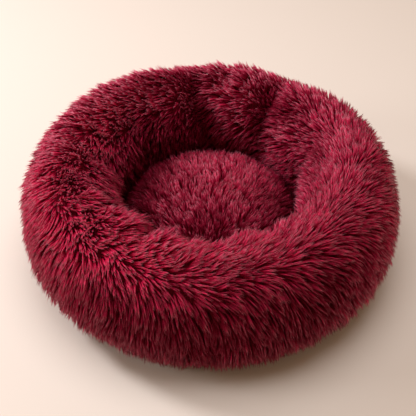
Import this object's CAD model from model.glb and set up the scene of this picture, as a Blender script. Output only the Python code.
"""Donut pet bed: a stuffed plush ring sewn to a cloth base, with a loose domed cushion in its nest.

The ring's cover opens at a zip low down at its back. Sizes are in metres, angles in degrees.
Azimuth runs counter-clockwise from +X; a section angle is 0 on the outer side of the ring or the
cushion, 90 on its crown and, on the ring, 180 on its inner side. An inset is a depth below the
pile's tips. Arrays of azimuths and angles may have any shapes that broadcast together.
"""

import logging
import math
from dataclasses import dataclass, replace
from enum import Enum
from typing import Any, Iterable

import bpy
import numpy as np
from bpy.types import ID, Material, Node, NodeSocket, NodeTree, Object
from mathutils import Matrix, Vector


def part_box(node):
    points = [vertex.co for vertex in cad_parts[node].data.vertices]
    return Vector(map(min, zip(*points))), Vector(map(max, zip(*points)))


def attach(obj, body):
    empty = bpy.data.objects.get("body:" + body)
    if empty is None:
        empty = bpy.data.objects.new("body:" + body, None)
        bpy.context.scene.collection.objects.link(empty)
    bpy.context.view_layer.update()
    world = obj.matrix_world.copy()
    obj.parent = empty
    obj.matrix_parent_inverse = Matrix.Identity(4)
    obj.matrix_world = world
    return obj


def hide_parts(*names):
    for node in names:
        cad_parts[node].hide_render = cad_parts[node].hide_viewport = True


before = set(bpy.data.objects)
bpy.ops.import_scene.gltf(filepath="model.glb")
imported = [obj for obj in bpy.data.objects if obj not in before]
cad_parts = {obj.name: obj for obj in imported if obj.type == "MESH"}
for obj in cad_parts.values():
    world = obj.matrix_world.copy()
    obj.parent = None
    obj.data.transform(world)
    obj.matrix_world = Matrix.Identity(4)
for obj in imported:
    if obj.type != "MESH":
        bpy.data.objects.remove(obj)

LOG = logging.getLogger("pet_bed")
MM = 0.001
FULL_TURN = 360.0
# The azimuth of the bed's front, and the section angles of the crown and of the ring's inner side
FRONT = 270.0
CROWN = 90.0
INNER_SIDE = 180.0
BAKE_UV = "OFBake"
WEAVE_UV = "weave"

Array = np.ndarray
Stops = tuple[tuple[float, str], ...]


class Body(Enum):
    """The rigid bodies that the new pieces ride on."""

    BED = "bed"
    CUSHION = "cushion"


class Slot(Enum):
    """The record's material slots."""

    PLUSH = "plush"
    LINING = "lining_cloth"
    WADDING = "wadding"
    BASE = "base_cloth"
    ZIP_CLOTH = "zip_cloth"
    ZIP_NYLON = "zip_nylon"
    ZIP_METAL = "zip_metal"


# Plain arithmetic on whole arrays

def unit(vectors: Array) -> Array:
    """Each vector divided by its own length."""
    length = np.linalg.norm(vectors, axis=-1, keepdims=True)
    return vectors / np.maximum(length, 1e-12)


def bump(distance: Array, reach: float) -> Array:
    """A smooth hill: half a cosine, 1 at distance 0 and 0 from the reach outwards."""
    return np.where(np.abs(distance) < reach, 0.5 + 0.5 * np.cos(np.pi * distance / reach), 0.0)


def passed(value: Array, start: float, end: float) -> Array:
    """How much of the way from the start to the end each value has gone, 0 to 1."""
    return np.clip((value - start) / (end - start), 0, 1)


def power(value: Array, exponent: float) -> Array:
    """A superellipse's coordinate: the sine or cosine to the power 2 / exponent, sign kept."""
    return np.sign(value) * np.abs(value) ** (2.0 / exponent)


def turn_between(angle: Array, other: float) -> Array:
    """The signed turn from other to angle, between -180 and 180 degrees."""
    return (angle - other + FULL_TURN / 2) % FULL_TURN - FULL_TURN / 2


def along_surface(vectors: Array, normal: Array) -> Array:
    """Each vector less its part along the normal."""
    return vectors - normal * (vectors * normal).sum(-1, keepdims=True)


def running_sum(steps: Array) -> Array:
    """The sums of the steps so far, from 0 to the whole."""
    return np.concatenate([[0], np.cumsum(steps)])


def even_azimuths(count: int) -> Array:
    """Azimuths in even steps round the axis, as a column."""
    return (np.arange(count) * FULL_TURN / count)[:, None]


def turned(radius: Array, azimuth: Array, height: Array) -> Array:
    """The points (r cos a, r sin a, z) of radii, azimuths and heights, shape (..., 3)."""
    turn = np.radians(azimuth)
    return np.stack(np.broadcast_arrays(radius * np.cos(turn), radius * np.sin(turn), height), -1)


def table_at(azimuth: Array, knots: tuple[tuple[float, float], ...]) -> Array:
    """A table's value at each azimuth, on straight lines between its knots, round the axis."""
    table = np.array(knots, float)
    return np.interp(azimuth, table[:, 0], table[:, 1], period=FULL_TURN)


def even_scatter(count: int, rng: np.random.Generator) -> Array:
    """Points spread evenly over a unit square, without rows.

    Point i is i times (1/p, 1/p^2), modulo 1, where p is the plastic number; each then moves by a
    random part of the mean spacing.

    Args:
        count: How many points.
        rng: The random source of the small moves.

    Returns:
        An array of shape (count, 2).
    """
    plastic_number, jitter = 1.32471795724, 0.55
    steps = np.arange(count)[:, None] * np.array([1 / plastic_number, 1 / plastic_number ** 2])
    return (steps + rng.uniform(-jitter, jitter, (count, 2)) / math.sqrt(count)) % 1.0


@dataclass(frozen=True)
class SoftNoise:
    """A smooth random field in space: the mean of several plane sine waves."""

    wavelength: float
    seed: int
    waves: int = 9
    spread: tuple[float, float] = (0.75, 1.4)

    def value(self, points: Array) -> Array:
        """The field at p: sqrt(2 / n) times the sum of sin(k . p + phase), with random k.

        Args:
            points: Places, shape (..., 3).

        Returns:
            The field's value at each place, about -2 to 2.
        """
        rng = np.random.default_rng(self.seed)
        size = 2 * np.pi / (self.wavelength * rng.uniform(*self.spread, (self.waves, 1)))
        vectors = unit(rng.normal(size=(self.waves, 3))) * size
        phases = rng.uniform(0, 2 * np.pi, self.waves)
        return np.sin(points @ vectors.T + phases).sum(-1) * math.sqrt(2 / self.waves)


# Meshes from arrays

def grid_quads(rows: int, columns: int, wrap_rows: bool, wrap_columns: bool) -> Array:
    """The quads of a grid of points numbered row by row.

    Args:
        rows: Points along the first direction.
        columns: Points along the second direction.
        wrap_rows: Whether the last row joins the first.
        wrap_columns: Whether the last column joins the first.

    Returns:
        Point numbers, shape (quads, 4), turned so that first x second direction points outwards.
    """
    first = np.arange(rows if wrap_rows else rows - 1)[:, None]
    second = np.arange(columns if wrap_columns else columns - 1)[None, :]
    after_first, after_second = (first + 1) % rows, (second + 1) % columns
    corners = (first * columns + second, after_first * columns + second,
               after_first * columns + after_second, first * columns + after_second)
    return np.stack([corner.ravel() for corner in corners], -1)


def make_piece(name: str, points: Array, faces: Iterable[Array],
               uvs: Iterable[Array] | None = None, uv_name: str = BAKE_UV) -> Object:
    """A smooth-shaded mesh object at the origin.

    Args:
        name: The piece's name.
        points: Vertex places, shape (..., 3).
        faces: Arrays of point numbers, one array for each number of corners.
        uvs: For each array of faces, its corners' texture places, shape (faces, corners, 2).
        uv_name: The texture places' name.

    Returns:
        The new object, linked to the scene.
    """
    flat = points.reshape(-1, 3)
    corners = np.concatenate([group.ravel() for group in faces])
    sizes = np.concatenate([np.full(len(group), group.shape[1]) for group in faces])
    mesh = bpy.data.meshes.new(name)
    mesh.vertices.add(len(flat))
    mesh.vertices.foreach_set("co", flat.astype(np.float32).ravel())
    mesh.loops.add(len(corners))
    mesh.loops.foreach_set("vertex_index", corners.astype(np.int32))
    mesh.polygons.add(len(sizes))
    mesh.polygons.foreach_set("loop_start", running_sum(sizes)[:-1].astype(np.int32))
    mesh.polygons.foreach_set("use_smooth", np.ones(len(sizes), bool))
    if uvs is not None:
        layer = mesh.uv_layers.new(name=uv_name)
        places = np.concatenate([group.reshape(-1, 2) for group in uvs])
        layer.data.foreach_set("uv", places.astype(np.float32).ravel())
    mesh.update(calc_edges=True)
    return linked_object(name, mesh)


def linked_object(name: str, data: ID) -> Object:
    """A new object at the origin, linked to the scene.

    Args:
        name: The object's name.
        data: Its mesh, lamp or camera.

    Returns:
        The new object.
    """
    made = bpy.data.objects.new(name, data)
    bpy.context.scene.collection.objects.link(made)
    return made


def ring_piece(name: str, sheet: Array) -> Object:
    """A closed ring of closed sections, from its points, shape (sections, section points, 3)."""
    return make_piece(name, sheet, [grid_quads(*sheet.shape[:2], True, True)])


def revolved_piece(name: str, radii: Array, heights: Array, segments: int,
                   lift: Array | None = None) -> Object:
    """A closed surface turned about the upright axis, from a profile whose ends lie on the axis.

    Point (i, j) is (r_i cos a_j, r_i sin a_j, z_i), with the azimuth a_j in even steps.

    Args:
        name: The piece's name.
        radii: The profile's radii, counter-clockwise in (radius, height); first and last are 0.
        heights: The profile's heights.
        segments: Steps round the axis.
        lift: Optional moves of the profile's inner points, shape (segments, points - 2, 2), in
            radius and height.

    Returns:
        The new object.
    """
    radius = np.broadcast_to(radii[1:-1], (segments, len(radii) - 2))
    height = np.broadcast_to(heights[1:-1], radius.shape)
    if lift is not None:
        radius, height = radius + lift[..., 0], height + lift[..., 1]
    sheet = turned(radius, even_azimuths(segments), height)
    columns = sheet.shape[1]
    points = np.concatenate([sheet.reshape(-1, 3), [[0, 0, heights[0]], [0, 0, heights[-1]]]])
    here = np.arange(segments) * columns
    after = np.roll(here, -1)
    pole = np.full(segments, segments * columns)
    start = np.stack([pole, after, here], -1)
    end = np.stack([pole + 1, here + columns - 1, after + columns - 1], -1)
    return make_piece(name, points, [grid_quads(segments, columns, True, False), start, end])


def led_from_axis(radius: Array, height: Array, count: int) -> tuple[Array, Array]:
    """A profile with a flat floor in front, which leads level from the axis to its first point.

    Args:
        radius: The profile's radii.
        height: The profile's heights.
        count: Points along the floor, with the profile's first.

    Returns:
        The longer profile's radii and heights.
    """
    flat = np.linspace(0, radius[0], count)[:-1]
    return np.concatenate([flat, radius]), np.concatenate([np.full_like(flat, height[0]), height])


def finish_piece(piece: Object, body: Body, slot: Slot, material: Material, *stands_for: str) -> Object:
    """Gives a piece its finish, its body and its slot, and logs it.

    Args:
        piece: The new piece.
        body: The rigid body that it rides on.
        slot: Its material slot in the record.
        material: Its finish.
        *stands_for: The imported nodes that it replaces.

    Returns:
        The same piece.
    """
    piece.data.materials.append(material)
    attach(piece, body.value)
    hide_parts(*stands_for)
    LOG.info("%s: %d faces on %s", piece.name, len(piece.data.polygons), body.value)
    return piece


# How stuffed cloth settles

@dataclass(frozen=True)
class StuffedSkin:
    """A cloth simulation of a stuffed skin, which its filling's pressure swells where it isn't held.

    The cloth starts as it was cut, a little larger than the shape that it covers, so that it
    ripples beside the places that hold it.
    """

    pressure: float = 4.0
    fullness: float = 0.03
    frames: int = 20
    quality: int = 5
    weight_levels: int = 10

    def settled(self, skin: Object, held: Array) -> Array:
        """Runs the simulation on a piece and removes the piece.

        Args:
            skin: A closed piece whose faces point outwards.
            held: How firmly each of its points is held, 0 to 1.

        Returns:
            The points' places after the last frame, shape (points, 3).
        """
        scene = bpy.context.scene
        group = skin.vertex_groups.new(name="held")
        level = np.rint(held.ravel() * self.weight_levels).astype(int)
        for step in range(1, self.weight_levels + 1):
            group.add(np.flatnonzero(level == step).tolist(), step / self.weight_levels, "REPLACE")
        cloth = skin.modifiers.new("stuffing", "CLOTH")
        cloth.settings.use_pressure = True
        cloth.settings.uniform_pressure_force = self.pressure
        cloth.settings.shrink_min = -self.fullness
        cloth.settings.quality = self.quality
        cloth.settings.vertex_group_mass = group.name
        cloth.settings.effector_weights.gravity = 0.0
        cloth.point_cache.frame_start, cloth.point_cache.frame_end = 1, self.frames
        for frame_number in range(1, self.frames + 1):
            scene.frame_set(frame_number)
        mesh = skin.evaluated_get(bpy.context.evaluated_depsgraph_get()).data
        places = np.empty(len(mesh.vertices) * 3, np.float32)
        mesh.vertices.foreach_get("co", places)
        scene.frame_set(1)
        bpy.data.meshes.remove(skin.data)
        return places.reshape(-1, 3).astype(float)


@dataclass(frozen=True)
class SkinMoves:
    """How far a skin has moved outwards, on an even grid of azimuths and section angles."""

    angles: Array | None = None
    moves: Array | None = None

    # The largest move outwards, as a share of the largest inwards
    OUTWARD_SHARE = 2 / 3

    @classmethod
    def kept(cls, angles: Array, moved: Array, fade: Array, cap: float) -> "SkinMoves":
        """What is kept of a simulation: each move less the median of its section angle, capped.

        Args:
            angles: The grid's section angles.
            moved: How far each point has moved outwards, shape (azimuths, angles).
            fade: The share of each move that is kept, of the same shape.
            cap: The largest move inwards.

        Returns:
            The moves, which leave the mean section as it was.
        """
        moved = np.clip(moved - np.median(moved, axis=0), -cap, cap * cls.OUTWARD_SHARE) * fade
        LOG.info("skin moves %.1f to %.1f mm", moved.min() / MM, moved.max() / MM)
        return cls(angles, moved)

    def at(self, azimuth: Array, angle: Array) -> Array | float:
        """The move at any place: linear interpolation both ways, and 0 where there is no grid.

        Args:
            azimuth: The places' azimuths.
            angle: Their section angles.

        Returns:
            How far the skin has moved outwards at each.
        """
        if self.moves is None:
            return 0.0
        rows, columns = self.moves.shape
        azimuth, angle = np.broadcast_arrays(np.asarray(azimuth, float), np.asarray(angle, float))
        row = azimuth % FULL_TURN / FULL_TURN * rows
        column = np.interp(angle, self.angles, np.arange(columns))
        before, left = row.astype(int) % rows, np.minimum(column.astype(int), columns - 2)
        down, along = row - np.floor(row), column - left
        after = (before + 1) % rows
        near = self.moves[before, left] * (1 - along) + self.moves[before, left + 1] * along
        far = self.moves[after, left] * (1 - along) + self.moves[after, left + 1] * along
        return near * (1 - down) + far * down


# The bed's two soft shapes

@dataclass(frozen=True)
class Crease:
    """A tuck that pulls the ring in: where it is, how wide, how deep and which side it faces.

    A negative depth is a lobe that swells out.
    """

    azimuth: float
    half_width: float
    depth_share: float
    facing: float
    spread: float


@dataclass(frozen=True)
class RingShape:
    """The stuffed ring over its pile.

    At a section angle, with exponent n (the inner foot's past 180, else the crown's):
    radius = middle + (half width - inset) * cos^(2/n) * keep and
    height = waist + (reach - inset) * sin^(2/n) * keep, where the reach is the crown's above the
    waist and the foot's below it, and keep is 1 less the creases' share there. Where the stuffed
    skin has settled outwards, the inset is less by its move. The outside also tucks in above its
    foot, but not along the zip.
    """

    outer_radius: float = 300 * MM
    nest_radius: float = 145 * MM
    height: float = 200 * MM
    waist: float = 91 * MM
    foot_squash: float = 22 * MM
    crown_exponent: float = 2.15
    inner_foot_exponent: float = 5.0
    creases: tuple[Crease, ...] = (
        Crease(17, 13, 0.16, 150, 62), Crease(57, 14, 0.30, 122, 84),
        Crease(97, 13, 0.26, 128, 78), Crease(135, 12, 0.10, 150, 60),
        Crease(173, 12, 0.12, 118, 64), Crease(216, 8, 0.17, 130, 58),
        Crease(241, 8, 0.30, 140, 66), Crease(271, 9, 0.14, 138, 55),
        Crease(268, 12, 0.03, 5, 46), Crease(270.5, 4, 0.045, 16, 48),
        Crease(296, 7, 0.14, 138, 52), Crease(335, 12, 0.08, 145, 55),
        Crease(230, 11, -0.12, 140, 58), Crease(251, 12, -0.08, 132, 50),
        Crease(285, 11, -0.06, 135, 50), Crease(307, 11, -0.06, 135, 50),
        Crease(76, 17, -0.06, 130, 55))
    crease_sharpness: float = 1.4
    tuck_depth: float = 11 * MM
    tuck_height: float = 27 * MM
    tuck_spread: float = 58 * MM
    tuck_ends: tuple[float, float] = (110.0, 90.0)
    moves: SkinMoves = SkinMoves()

    # Points along a section when its outline is measured
    FINE_POINTS = 8001

    @property
    def middle_radius(self) -> float:
        """The radius of the ring's middle line."""
        return (self.outer_radius + self.nest_radius) / 2

    @property
    def half_width(self) -> float:
        """Half the ring's width over its pile."""
        return (self.outer_radius - self.nest_radius) / 2

    def crease_share(self, azimuth: Array, angle: Array) -> Array:
        """The share of the section that the creases take away.

        It is the sum of each crease's depth times a sharp valley along the ring, (1 - d / reach)^s,
        times a smooth hill round the section. A lobe, of negative depth, is a smooth hill both ways.

        Args:
            azimuth: The places' azimuths.
            angle: Their section angles.

        Returns:
            The share at each place.
        """
        total = np.zeros(np.broadcast(azimuth, angle).shape)
        for crease in self.creases:
            away = np.abs(turn_between(azimuth, crease.azimuth)) / crease.half_width
            valley = np.clip(1 - away, 0, 1) ** self.crease_sharpness
            along = valley if crease.depth_share > 0 else bump(away, 1)
            total = total + crease.depth_share * along * bump(angle - crease.facing, crease.spread)
        return total

    def tucked_in(self, azimuth: Array, angle: Array, height: Array) -> Array:
        """How far the outside tucks in: a smooth hill of height, which fades out towards the zip.

        Args:
            azimuth: The places' azimuths.
            angle: Their section angles.
            height: Their heights.

        Returns:
            How far each place moves in towards the ring's middle line.
        """
        front = passed(np.abs(turn_between(azimuth, FRONT)), *self.tuck_ends)
        tuck = self.tuck_depth * front * bump(height - self.tuck_height, self.tuck_spread)
        return np.where(np.abs(angle) < CROWN, tuck, 0)

    def point(self, azimuth: Array, angle: Array, inset: Array | float) -> Array:
        """The surface's points, by the class's formula.

        Args:
            azimuth: The points' azimuths.
            angle: Their section angles.
            inset: Their depths below the pile's tips.

        Returns:
            The points, shape (..., 3).
        """
        exponent = np.where(angle > INNER_SIDE, self.inner_foot_exponent, self.crown_exponent)
        cosine = power(np.cos(np.radians(angle)), exponent)
        sine = power(np.sin(np.radians(angle)), exponent)
        reach = np.where(sine > 0, self.height - self.waist, self.waist + self.foot_squash)
        inset = inset - self.moves.at(azimuth, angle)
        keep = 1 - self.crease_share(azimuth, angle)
        radius = self.middle_radius + (self.half_width - inset) * cosine * keep
        height = self.waist + (reach - inset) * sine * keep
        return turned(radius - self.tucked_in(azimuth, angle, height), azimuth, height)

    def plain_section(self, angles: Array, inset: float) -> Array:
        """The points of a section at azimuth 0, as if the ring had no creases, tuck or moves."""
        plain = replace(self, creases=(), tuck_depth=0.0, moves=SkinMoves())
        return plain.point(np.zeros_like(angles), angles, inset)

    def foot_angle(self, inset: float, height: float, outer: bool) -> float:
        """The section angle at which the surface comes down to a height.

        Args:
            inset: The surface's depth below the pile's tips.
            height: The height, below the waist.
            outer: Whether the outer side is meant, or else the inner one.

        Returns:
            The angle, below 0 on the outer side and above 180 on the inner one.
        """
        exponent = self.crown_exponent if outer else self.inner_foot_exponent
        sine = (self.waist - height) / (self.waist + self.foot_squash - inset)
        down = math.degrees(math.asin(sine ** (exponent / 2)))
        return -down if outer else INNER_SIDE + down

    def even_angles(self, inset: float, first: float, last: float, count: int) -> Array:
        """Section angles evenly spaced along the plain section's outline.

        Args:
            inset: The outline's depth below the pile's tips.
            first: The first angle.
            last: The last angle.
            count: How many angles.

        Returns:
            The angles, from the first to the last.
        """
        fine = np.linspace(first, last, self.FINE_POINTS)
        steps = np.diff(self.plain_section(fine, inset), axis=0)
        length = running_sum(np.linalg.norm(steps, axis=1))
        return np.interp(np.linspace(0, length[-1], count), length, fine)


@dataclass(frozen=True)
class CushionShape:
    """The loose cushion over its pile, a superellipse turned about the upright axis.

    radius = (outer - side inset) * cos^(2/n), and height = waist + reach * sin^(2/n), where the
    reach is the crown's less the inset above the waist and the foot's less the inset below it.
    """

    outer_radius: float = 139 * MM
    waist: float = 50 * MM
    crown: float = 116 * MM
    seam: float = 20 * MM
    foot: float = 1.9 * MM
    foot_squash: float = 8 * MM
    exponent: float = 3.3
    moves: SkinMoves = SkinMoves()

    @property
    def under_reach(self) -> float:
        """The reach below the waist, down to the squashed foot."""
        return self.waist - self.foot + self.foot_squash

    def profile(self, angle: Array, inset: Array | float,
                under_inset: float = 0.0) -> tuple[Array, Array]:
        """The section's outline.

        Args:
            angle: The section angles.
            inset: How far the side and the crown are drawn in.
            under_inset: How far the underside is drawn in.

        Returns:
            The radius and the height at each angle.
        """
        cosine = power(np.cos(np.radians(angle)), self.exponent)
        sine = power(np.sin(np.radians(angle)), self.exponent)
        over = self.crown - self.waist - inset
        reach = np.where(sine > 0, over, self.under_reach - under_inset)
        return (self.outer_radius - inset) * cosine, self.waist + reach * sine

    def point(self, azimuth: Array, angle: Array, inset: float) -> Array:
        """The surface's points at these azimuths, angles and depth, as the skin has settled."""
        radius, height = self.profile(angle, inset - self.moves.at(azimuth, angle))
        return turned(radius, azimuth, height)

    def angle_at(self, height: float, under_inset: float = 0.0) -> float:
        """The section angle at which the surface passes a height below the waist."""
        sine = (self.waist - height) / (self.under_reach - under_inset)
        return -math.degrees(math.asin(sine ** (self.exponent / 2)))


def tangents(shape: RingShape | CushionShape, azimuth: Array, angle: Array,
             inset: float) -> tuple[Array, Array, Array]:
    """The surface's own frame at each point, from differences over half a degree each way.

    Args:
        shape: The soft shape.
        azimuth: The points' azimuths.
        angle: Their section angles.
        inset: Their depth below the pile's tips.

    Returns:
        Unit vectors along the azimuth, along the section angle, and outwards, which are the cross
        product of the two.
    """
    step = 0.5
    along = unit(shape.point(azimuth + step, angle, inset) - shape.point(azimuth - step, angle, inset))
    across = shape.point(azimuth, angle + step, inset) - shape.point(azimuth, angle - step, inset)
    normal = unit(np.cross(along, across))
    return along, np.cross(normal, along), normal


# Long pile

@dataclass(frozen=True)
class PileSpec:
    """How a plush's pile stands: locks of several strands that come together at their tips.

    A lock rises from its root for its rise share, then lies over; both tilts are measured from the
    normal, and an upright lock leans less. A strand starts in the lock's round root patch. Its
    bend, shoulder and tip are drawn towards the lock's own by the gather shares, and wander from
    them by shares of the tip spread; an open lock gathers less and wanders more.
    """

    lock_spacing: float
    strands_per_lock: int
    length: float
    width: float
    lock_radius: float
    seed: int
    flatness: float = 0.7
    shoulder_width: float = 0.85
    rise_share: float = 0.36
    shoulder_share: float = 0.6
    rise_tilt: float = 26.0
    lie_tilt: float = 54.0
    upright_rise: float = 14.0
    upright_lie: float = 30.0
    bend_gather: float = 0.4
    shoulder_gather: float = 0.2
    gather_share: float = 0.66
    tip_spread: float = 0.9 * MM
    tip_wander: float = 0.7
    shoulder_wander: float = 0.45
    open_loss: float = 0.85
    open_spread: float = 2.6
    bend_pull: float = 0.3
    stretches: tuple[float, float] = (0.8, 1.12)
    widths: tuple[float, float] = (0.8, 1.2)
    tuft_spacing: float = 20 * MM
    tuft_gather: float = 0.4
    tone_spread: float = 0.16
    tones: tuple[float, float] = (0.01, 0.99)
    floor_clearance: float = 1.2 * MM
    sheared_height: float = 23 * MM

    def tilts(self, upright: Array) -> tuple[Array, Array]:
        """How far from the normal a lock's rise and its lie lean, in radians."""
        return (np.radians(self.rise_tilt - self.upright_rise * upright),
                np.radians(self.lie_tilt - self.upright_lie * upright))

    def sheared(self, length: Array, upright: Array) -> Array:
        """Cuts the locks where they would stand above the height at which the plush is sheared.

        Args:
            length: The locks' lengths.
            upright: How upright each stands.

        Returns:
            The lengths after the cut.
        """
        rise, lie = self.tilts(upright)
        share = self.rise_share * np.cos(rise) + (1 - self.rise_share) * np.cos(lie)
        return np.minimum(length, self.sheared_height / share)

    def places(self, outline: Array, angles: Array, density: Array | float,
               rng: np.random.Generator) -> tuple[Array, Array]:
        """Where locks stand, spread evenly over a surface turned about the upright axis.

        The area up to an outline point is the sum of its steps times radius and density; the
        scatter's second coordinate picks an equal share of the whole.

        Args:
            outline: The section's radii and heights, shape (points, 2).
            angles: The points' section angles.
            density: How many locks an area has there, against the mean.
            rng: The random source of the scatter.

        Returns:
            Each lock's azimuth and section angle.
        """
        step = np.linalg.norm(np.diff(outline, axis=0), axis=1)
        radius = outline[:, 0] * density
        area = running_sum(step * (radius[1:] + radius[:-1]) / 2)
        count = int(2 * math.pi * area[-1] / self.lock_spacing ** 2)
        scatter = even_scatter(count, rng)
        return scatter[:, 0] * FULL_TURN, np.interp(scatter[:, 1] * area[-1], area, angles)


@dataclass
class Locks:
    """The places where locks grow: arrays with one row for each lock."""

    root: Array
    normal: Array
    lie: Array
    length: Array
    upright: Array
    sag: Array
    tone: Array
    pull: Array
    openness: Array

    def taken(self, chosen: Array) -> "Locks":
        """Only the chosen locks."""
        return Locks(**{name: value[chosen] for name, value in vars(self).items()})


@dataclass
class Tufts:
    """The clumps that neighbouring locks fall into: arrays with one row for each lock.

    A lock belongs to the nearest of a set of evenly spread centres, and shares that clump's own
    turn, stand, tone and length, all drawn at random as plain bell curves.
    """

    to_centre: Array
    turn: Array
    stand: Array
    tone: Array
    length: Array

    # Locks that are sorted at a time, to save memory
    BLOCK = 4096

    @classmethod
    def over(cls, places: Array, spec: PileSpec, rng: np.random.Generator) -> "Tufts":
        """Sorts the locks into tufts; the first places of the scatter, evenly spread, are centres.

        Args:
            places: Where the locks stand.
            spec: The pile, with the spacings of its locks and tufts.
            rng: The random source.

        Returns:
            Each lock's way to its tuft's centre, and its tuft's own deviations.
        """
        count = max(1, int(len(places) * (spec.lock_spacing / spec.tuft_spacing) ** 2))
        centres = places[:count]
        size = (centres ** 2).sum(-1)
        nearest = np.concatenate([
            (size - 2 * places[first:first + cls.BLOCK] @ centres.T).argmin(-1)
            for first in range(0, len(places), cls.BLOCK)])
        draws = rng.normal(0, 1, (count, 4))[nearest]
        return cls(centres[nearest] - places, *draws.T)


class Pile:
    """Grows the strands of locks as closed three-sided spikes."""

    SIDES = 3
    # A strand's texture places: the step of tone across it, and the shares of the way along it of
    # its root, bend, shoulder and tip
    TONE_STEP = 0.004
    ALONG = (0.02, 0.4, 0.76, 0.98)

    def __init__(self, spec: PileSpec) -> None:
        """Keeps the spec and starts the seeded random source."""
        self.spec = spec
        self.rng = np.random.default_rng(spec.seed)

    def strands(self, locks: Locks) -> tuple[Array, Array, Array]:
        """The strands' centre lines, by the spec's formula.

        The tip also moves by the lock's pull towards its tuft, and gravity draws it down.

        Args:
            locks: Where the locks grow.

        Returns:
            Centre points of shape (strands, 4, 3), the side vectors and the tones.
        """
        spec, rng = self.spec, self.rng
        count, each = len(locks.root), spec.strands_per_lock
        side = np.cross(locks.normal, locks.lie)
        rise, lie = (tilt[:, None] for tilt in spec.tilts(locks.upright))
        bend = locks.root + (locks.length[:, None] * spec.rise_share
                             * (locks.normal * np.cos(rise) + locks.lie * np.sin(rise)))
        tip = bend + (locks.length[:, None] * (1 - spec.rise_share)
                      * (locks.normal * np.cos(lie) + locks.lie * np.sin(lie)))
        tip[:, 2] -= locks.sag * locks.length
        tip = tip + locks.pull
        bend = bend + locks.pull * spec.bend_pull

        radius = spec.lock_radius * np.sqrt(rng.uniform(0, 1, (count, each, 1)))
        turn = rng.uniform(0, 2 * np.pi, (count, each, 1))
        offset = radius * (np.cos(turn) * locks.lie[:, None] + np.sin(turn) * side[:, None])
        stretch = rng.uniform(*spec.stretches, (count, each, 1))
        openness = locks.openness[:, None, None]
        wander = rng.normal(0, spec.tip_spread, (2, count, each, 3))
        wander = wander * (1 + spec.open_spread * openness)
        gather = spec.gather_share * (1 - spec.open_loss * openness)
        root = locks.root[:, None] + offset
        middle = bend[:, None] + offset * (1 - spec.bend_gather * gather)
        end = tip[:, None] + offset * (1 - gather) + wander[0] * spec.tip_wander
        end = middle + (end - middle) * stretch
        shoulder = middle + (end - middle) * spec.shoulder_share
        shoulder = shoulder - offset * spec.shoulder_gather * gather
        shoulder = shoulder + wander[1] * spec.shoulder_wander
        lines = np.stack([root, middle, shoulder, end], 2).reshape(-1, 4, 3)
        lines[:, :, 2] = np.maximum(lines[:, :, 2], spec.floor_clearance)
        tone = (locks.tone[:, None] + rng.normal(0, spec.tone_spread, (count, each))).ravel()
        return lines, np.repeat(side, each, axis=0), np.clip(tone, *spec.tones)

    def piece(self, name: str, locks: Locks) -> Object:
        """The strands of some locks as one mesh.

        Each strand is a flattened triangle tube with a ring at its bend and one at its shoulder,
        and a point at its root and its tip. Its texture place is (tone, share of the way along).

        Args:
            name: The piece's name.
            locks: Where the locks grow.

        Returns:
            The new object.
        """
        spec, sides = self.spec, self.SIDES
        lines, side, tone = self.strands(locks)
        count = len(lines)
        heading = unit(lines[:, 3] - lines[:, 1])
        wide = unit(np.cross(heading, np.cross(side, heading)))
        thick = np.cross(heading, wide)
        widths = spec.width / 2 * self.rng.uniform(*spec.widths, count)[:, None]
        widths = widths * np.array([[1.0, spec.shoulder_width]])
        turn = np.arange(sides) * 2 * np.pi / sides + np.pi / 2
        ring = (np.cos(turn)[:, None] * wide[:, None]
                + np.sin(turn)[:, None] * thick[:, None] * spec.flatness)
        rings = lines[:, 1:3, None] + widths[:, :, None, None] * ring[:, None]
        points = np.concatenate([rings.reshape(count, -1, 3), lines[:, 3:], lines[:, :1]], 1)

        first = (np.arange(count) * (2 * sides + 2))[:, None]
        here = np.arange(sides)[None]
        after = (here + 1) % sides
        quads = np.stack([first + here, first + after, first + sides + after,
                          first + sides + here], -1).reshape(-1, 4)
        tip = np.broadcast_to(first + 2 * sides, (count, sides))
        tips = np.stack([first + sides + here, first + sides + after, tip], -1)
        roots = np.stack([first + after, first + here, tip + 1], -1)

        at_root, at_bend, at_shoulder, at_tip = self.ALONG
        left, middle, right = (np.repeat(tone[:, None] + self.TONE_STEP * k, sides, 1)
                               for k in (-1, 0, 1))

        def corners(*places: tuple[Array, float]) -> Array:
            """The corners' texture places on every side of every strand."""
            return np.stack([np.stack([across, np.full_like(across, height)], -1)
                             for across, height in places], 2)

        quad_uv = corners((left, at_bend), (right, at_bend), (right, at_shoulder), (left, at_shoulder))
        tip_uv = corners((left, at_shoulder), (right, at_shoulder), (middle, at_tip))
        root_uv = corners((right, at_bend), (left, at_bend), (middle, at_root))
        return make_piece(name, points, [quads, np.concatenate([tips, roots]).reshape(-1, 3)],
                          [quad_uv, np.concatenate([tip_uv, root_uv])])


# Finishes

def colour(text: str) -> tuple[float, float, float, float]:
    """An sRGB hex value as a linear colour with alpha 1, by the sRGB curve.

    Args:
        text: The value, such as #FFFFFF.

    Returns:
        Red, green, blue and alpha.
    """
    channels = [int(text[i:i + 2], 16) / 255 for i in (1, 3, 5)]
    linear = [c / 12.92 if c <= 0.04045 else ((c + 0.055) / 1.055) ** 2.4 for c in channels]
    return (linear[0], linear[1], linear[2], 1.0)


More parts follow.
